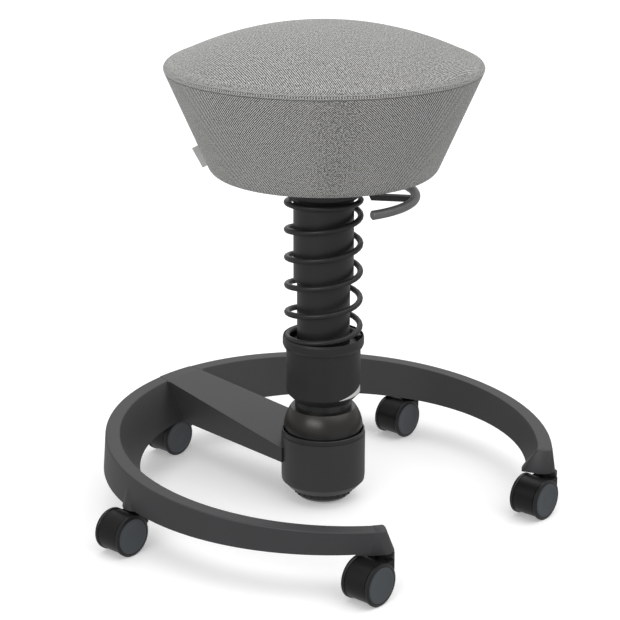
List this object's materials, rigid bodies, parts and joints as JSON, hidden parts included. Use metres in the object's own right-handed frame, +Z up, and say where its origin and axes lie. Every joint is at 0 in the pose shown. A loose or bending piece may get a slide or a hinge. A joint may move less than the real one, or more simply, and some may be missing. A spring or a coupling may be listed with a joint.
{
  "type": "active sitting stool",
  "caption": "Backless rolling stool: cone-shaped fabric cushion on a sprung, tilting, height-adjustable column, carried by an open ring base on twin-wheel castors.",
  "frame": {"origin": "on the floor under the axis of the upright column", "axes": "+Z up along the column, +Y along the base arm from the hub to the ring, -Y towards the ring's opening, +X to the side that the castors lead with as they stand"},
  "size_m": [0.607, 0.541, 0.6169],
  "materials": {
    "powder_coat": "satin powder coat",
    "black_plastic": "fine-grained satin",
    "dome_shell": "satin",
    "spring_steel": "satin black coat",
    "steel": "machined",
    "black_steel": "gloss black coat",
    "rubber": "matte",
    "wheel_body": "satin",
    "seat_fabric": "fine herringbone weave",
    "tag_fabric": "plain cloth",
    "foam": "open-cell foam",
    "board": "moulded"
  },
  "bodies": {
    "base": {"base_ring": "powder_coat", "base_arm": "powder_coat", "arm_screws": "steel", "hub_pot": "black_plastic", "hub_trim_ring": "black_plastic", "pivot_yoke": "steel", "damper_ring": "rubber", "castor_1_stem": "steel", "castor_2_stem": "steel", "castor_3_stem": "steel", "castor_4_stem": "steel", "castor_5_stem": "steel"},
    "knob": {"stiffness_knob": "black_plastic"},
    "castor_1_swivel": {"castor_1_hood": "wheel_body", "castor_1_axle": "steel"},
    "castor_1_wheel_a": {"castor_1_wheel_a": "wheel_body"},
    "castor_1_wheel_b": {"castor_1_wheel_b": "wheel_body"},
    "castor_2_swivel": {"castor_2_hood": "wheel_body", "castor_2_axle": "steel"},
    "castor_2_wheel_a": {"castor_2_wheel_a": "wheel_body"},
    "castor_2_wheel_b": {"castor_2_wheel_b": "wheel_body"},
    "castor_3_swivel": {"castor_3_hood": "wheel_body", "castor_3_axle": "steel"},
    "castor_3_wheel_a": {"castor_3_wheel_a": "wheel_body"},
    "castor_3_wheel_b": {"castor_3_wheel_b": "wheel_body"},
    "castor_4_swivel": {"castor_4_hood": "wheel_body", "castor_4_axle": "steel"},
    "castor_4_wheel_a": {"castor_4_wheel_a": "wheel_body"},
    "castor_4_wheel_b": {"castor_4_wheel_b": "wheel_body"},
    "castor_5_swivel": {"castor_5_hood": "wheel_body", "castor_5_axle": "steel"},
    "castor_5_wheel_a": {"castor_5_wheel_a": "wheel_body"},
    "castor_5_wheel_b": {"castor_5_wheel_b": "wheel_body"},
    "cross": {"tilt_cross": "steel"},
    "column": {"column_foot": "dome_shell", "lower_tube": "black_steel", "guide_bushes": "board", "coil_spring": "spring_steel"},
    "cup": {"spring_cup": "black_plastic"},
    "slider": {"upper_sleeve": "black_plastic", "spring_collar": "black_plastic", "inner_column": "black_steel", "top_guide": "board", "thrust_bearing": "steel"},
    "rod": {"piston_rod": "steel", "retaining_clip": "steel"},
    "seat": {"gas_cylinder": "black_steel", "seat_socket": "black_steel", "seat_screws": "steel", "seat_board": "board", "seat_foam": "foam", "seat_cover": "seat_fabric", "cover_tag": "tag_fabric", "lever_pin": "steel"},
    "lever": {"lever_strip": "black_steel", "lever_handle": "black_steel"},
    "button": {"gas_button": "steel"}
  },
  "joints": [
    {"name": "castor_1_turn", "type": "hinge", "parent": "base", "child": "castor_1_swivel", "pos_m": [-0.16223, -0.24049, 0.05], "axis": [0, 0, 1], "continuous": true},
    {"name": "castor_1_roll_a", "type": "hinge", "parent": "castor_1_swivel", "child": "castor_1_wheel_a", "pos_m": [-0.19123, -0.24049, 0.026], "axis": [0, 1, 0], "continuous": true},
    {"name": "castor_1_roll_b", "type": "hinge", "parent": "castor_1_swivel", "child": "castor_1_wheel_b", "pos_m": [-0.19123, -0.24049, 0.026], "axis": [0, 1, 0], "continuous": true},
    {"name": "castor_2_turn", "type": "hinge", "parent": "base", "child": "castor_2_swivel", "pos_m": [0.16223, -0.24049, 0.05], "axis": [0, 0, 1], "continuous": true},
    {"name": "castor_2_roll_a", "type": "hinge", "parent": "castor_2_swivel", "child": "castor_2_wheel_a", "pos_m": [0.13323, -0.24049, 0.026], "axis": [0, 1, 0], "continuous": true},
    {"name": "castor_2_roll_b", "type": "hinge", "parent": "castor_2_swivel", "child": "castor_2_wheel_b", "pos_m": [0.13323, -0.24049, 0.026], "axis": [0, 1, 0], "continuous": true},
    {"name": "castor_3_turn", "type": "hinge", "parent": "base", "child": "castor_3_swivel", "pos_m": [0.26249, 0.06809, 0.05], "axis": [0, 0, 1], "continuous": true},
    {"name": "castor_3_roll_a", "type": "hinge", "parent": "castor_3_swivel", "child": "castor_3_wheel_a", "pos_m": [0.23349, 0.06809, 0.026], "axis": [0, 1, 0], "continuous": true},
    {"name": "castor_3_roll_b", "type": "hinge", "parent": "castor_3_swivel", "child": "castor_3_wheel_b", "pos_m": [0.23349, 0.06809, 0.026], "axis": [0, 1, 0], "continuous": true},
    {"name": "castor_4_turn", "type": "hinge", "parent": "base", "child": "castor_4_swivel", "pos_m": [0, 0.2588, 0.05], "axis": [0, 0, 1], "continuous": true},
    {"name": "castor_4_roll_a", "type": "hinge", "parent": "castor_4_swivel", "child": "castor_4_wheel_a", "pos_m": [-0.029, 0.2588, 0.026], "axis": [0, 1, 0], "continuous": true},
    {"name": "castor_4_roll_b", "type": "hinge", "parent": "castor_4_swivel", "child": "castor_4_wheel_b", "pos_m": [-0.029, 0.2588, 0.026], "axis": [0, 1, 0], "continuous": true},
    {"name": "castor_5_turn", "type": "hinge", "parent": "base", "child": "castor_5_swivel", "pos_m": [-0.26249, 0.06809, 0.05], "axis": [0, 0, 1], "continuous": true},
    {"name": "castor_5_roll_a", "type": "hinge", "parent": "castor_5_swivel", "child": "castor_5_wheel_a", "pos_m": [-0.29149, 0.06809, 0.026], "axis": [0, 1, 0], "continuous": true},
    {"name": "castor_5_roll_b", "type": "hinge", "parent": "castor_5_swivel", "child": "castor_5_wheel_b", "pos_m": [-0.29149, 0.06809, 0.026], "axis": [0, 1, 0], "continuous": true},
    {"name": "knob_turn", "type": "hinge", "parent": "base", "child": "knob", "pos_m": [0, 0, 0.017], "axis": [0, 0, 1], "range_deg": [0, 300]},
    {"name": "tilt_side", "type": "hinge", "parent": "base", "child": "cross", "pos_m": [0, 0, 0.096], "axis": [1, 0, 0], "range_deg": [-14, 14], "stiffness_Nm_per_rad": 600},
    {"name": "tilt_front", "type": "hinge", "parent": "cross", "child": "column", "pos_m": [0, 0, 0.096], "axis": [0, 1, 0], "range_deg": [-14, 14], "stiffness_Nm_per_rad": 600},
    {"name": "cup_turn", "type": "hinge", "parent": "column", "child": "cup", "pos_m": [0, 0, 0.2], "axis": [0, 0, 1], "range_deg": [-150, 150]},
    {"name": "bounce", "type": "slide", "parent": "column", "child": "slider", "axis": [0, 0, 1], "range_m": [-0.06, 0], "stiffness_N_per_m": 12000, "springref_m": 0.012, "deforming": ["coil_spring"]},
    {"name": "seat_turn", "type": "hinge", "parent": "slider", "child": "rod", "pos_m": [0, 0, 0.209], "axis": [0, 0, 1], "continuous": true},
    {"name": "height", "type": "slide", "parent": "rod", "child": "seat", "axis": [0, 0, 1], "range_m": [0, 0.13]},
    {"name": "lever_lift", "type": "hinge", "parent": "seat", "child": "lever", "pos_m": [0.00954, -0.01527, 0.43275], "axis": [-0.848, -0.5299, 0], "range_deg": [0, 5], "stiffness_Nm_per_rad": 4, "springref_deg": -5.73},
    {"name": "button_press", "type": "slide", "parent": "seat", "child": "button", "axis": [0, 0, -1], "range_m": [0, 0.0018]}
  ],
  "couplings": [
    {"joint": "button_press", "follows": "lever_lift", "m_per_rad": 0.02}
  ]
}
